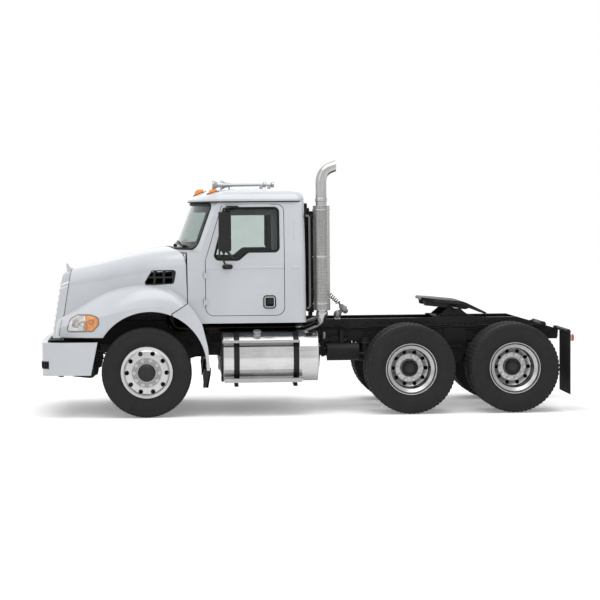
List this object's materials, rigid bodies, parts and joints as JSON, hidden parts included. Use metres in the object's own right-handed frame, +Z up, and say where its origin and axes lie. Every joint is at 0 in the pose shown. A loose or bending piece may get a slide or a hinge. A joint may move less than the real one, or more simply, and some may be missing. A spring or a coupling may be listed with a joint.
{
  "type": "semi truck tractor unit",
  "caption": "Day-cab semi truck tractor with tandem drive axles, tilting hood, opening doors, steered front wheels, fifth wheel, exhaust stack and twin fuel tanks.",
  "frame": {"origin": "on the road under the middle of the truck's box", "axes": "+X toward the truck's rear, -Y the driver's side, +Z up"},
  "size_m": [6.235, 2.7386, 2.9749],
  "materials": {
    "white_paint": "clear-coated cool white paint",
    "chassis_black": "satin black chassis paint",
    "black_plastic": "moulded black plastic",
    "chrome": "bright chrome",
    "polished_aluminium": "polished aluminium",
    "stainless": "satin stainless steel",
    "tyre_rubber": "dark grey tyre rubber",
    "flap_rubber": "black rubber",
    "tinted_glass": "green tinted safety glass",
    "lamp_lens": "clear lamp lens with an amber end",
    "amber_lens": "amber lens",
    "red_lens": "red lens in a bright housing",
    "engine_grey": "painted cast iron",
    "cab_trim": "dark grey interior trim",
    "seat_fabric": "dark grey seat cloth",
    "radiator_metal": "dark radiator core",
    "axle_iron": "black painted iron"
  },
  "bodies": {
    "root": {"air_horns": "chrome", "air_line": "stainless", "air_tanks": "polished_aluminium", "bogie_suspension": "axle_iron", "bumper": "white_paint", "cab_glass": "tinted_glass", "cab_roof": "white_paint", "cab_shell": "white_paint", "crossmembers": "chassis_black", "dashboard": "cab_trim", "drive_axles": "axle_iron", "driveshafts": "axle_iron", "exhaust_shield": "stainless", "exhaust_stack": "stainless", "fender_legs": "white_paint", "fifth_wheel_base": "chassis_black", "flap_hangers": "chassis_black", "frame_horns": "chassis_black", "frame_rails": "chassis_black", "front_axle": "axle_iron", "front_springs": "axle_iron", "fuel_tanks": "polished_aluminium", "line_post": "chassis_black", "marker_lamps": "amber_lens", "mud_flaps": "flap_rubber", "powertrain": "engine_grey", "radiator": "radiator_metal", "seats": "seat_fabric", "side_steps": "polished_aluminium", "stack_mount": "chassis_black", "tail_lamps": "red_lens", "tank_straps": "chassis_black"},
    "hood": {"hood": "white_paint", "grille": "chrome", "headlamps": "lamp_lens", "hood_vents": "black_plastic"},
    "door_left": {"door_left": "white_paint", "door_glass_left": "tinted_glass", "mirror_left": "black_plastic"},
    "door_right": {"door_right": "white_paint", "door_glass_right": "tinted_glass", "mirror_right": "black_plastic"},
    "knuckle_left": {"knuckle_left": "axle_iron"},
    "knuckle_right": {"knuckle_right": "axle_iron"},
    "tie_rod": {"tie_rod": "axle_iron"},
    "fifth_wheel": {"fifth_wheel_plate": "axle_iron"},
    "wheel_front_left": {"tyre_front_left": "tyre_rubber", "wheel_front_left": "polished_aluminium"},
    "wheel_front_right": {"tyre_front_right": "tyre_rubber", "wheel_front_right": "polished_aluminium"},
    "wheel_drive_1_left": {"tyres_drive_1_left": "tyre_rubber", "wheel_drive_1_left": "polished_aluminium"},
    "wheel_drive_1_right": {"tyres_drive_1_right": "tyre_rubber", "wheel_drive_1_right": "polished_aluminium"},
    "wheel_drive_2_left": {"tyres_drive_2_left": "tyre_rubber", "wheel_drive_2_left": "polished_aluminium"},
    "wheel_drive_2_right": {"tyres_drive_2_right": "tyre_rubber", "wheel_drive_2_right": "polished_aluminium"}
  },
  "joints": [
    {"name": "hood_hinge", "type": "hinge", "parent": "root", "child": "hood", "pos_m": [-3.0125, 0, 0.895], "axis": [0, -1, 0], "range_deg": [0, 75]},
    {"name": "door_left_hinge", "type": "hinge", "parent": "root", "child": "door_left", "pos_m": [-1.2025, -1.053, 1.7], "axis": [0, 0, -1], "range_deg": [0, 70]},
    {"name": "door_right_hinge", "type": "hinge", "parent": "root", "child": "door_right", "pos_m": [-1.2025, 1.053, 1.7], "axis": [0, 0, 1], "range_deg": [0, 70]},
    {"name": "steer_left", "type": "hinge", "parent": "root", "child": "knuckle_left", "pos_m": [-1.8825, -0.87, 0.525], "axis": [0, 0, 1], "range_deg": [-35, 35]},
    {"name": "steer_right", "type": "hinge", "parent": "root", "child": "knuckle_right", "pos_m": [-1.8825, 0.87, 0.525], "axis": [0, 0, 1], "range_deg": [-35, 35]},
    {"name": "tie_rod_swivel", "type": "hinge", "parent": "knuckle_left", "child": "tie_rod", "pos_m": [-1.6825, -0.87, 0.372], "axis": [0, 0, 1], "range_deg": [-35, 35]},
    {"name": "fifth_wheel_tilt", "type": "hinge", "parent": "root", "child": "fifth_wheel", "pos_m": [1.8075, 0, 1.2], "axis": [0, -1, 0], "range_deg": [0, 18]},
    {"name": "roll_front_left", "type": "hinge", "parent": "knuckle_left", "child": "wheel_front_left", "pos_m": [-1.8825, -1.066, 0.525], "axis": [0, 1, 0], "continuous": true},
    {"name": "roll_front_right", "type": "hinge", "parent": "knuckle_right", "child": "wheel_front_right", "pos_m": [-1.8825, 1.066, 0.525], "axis": [0, 1, 0], "continuous": true},
    {"name": "roll_drive_1_left", "type": "hinge", "parent": "root", "child": "wheel_drive_1_left", "pos_m": [1.2025, -0.9105, 0.525], "axis": [0, 1, 0], "continuous": true},
    {"name": "roll_drive_1_right", "type": "hinge", "parent": "root", "child": "wheel_drive_1_right", "pos_m": [1.2025, 0.9105, 0.525], "axis": [0, 1, 0], "continuous": true},
    {"name": "roll_drive_2_left", "type": "hinge", "parent": "root", "child": "wheel_drive_2_left", "pos_m": [2.4225, -0.9105, 0.525], "axis": [0, 1, 0], "continuous": true},
    {"name": "roll_drive_2_right", "type": "hinge", "parent": "root", "child": "wheel_drive_2_right", "pos_m": [2.4225, 0.9105, 0.525], "axis": [0, 1, 0], "continuous": true}
  ],
  "couplings": [
    {"joint": "steer_right", "follows": "steer_left", "ratio": 1},
    {"joint": "tie_rod_swivel", "follows": "steer_left", "ratio": -1}
  ]
}
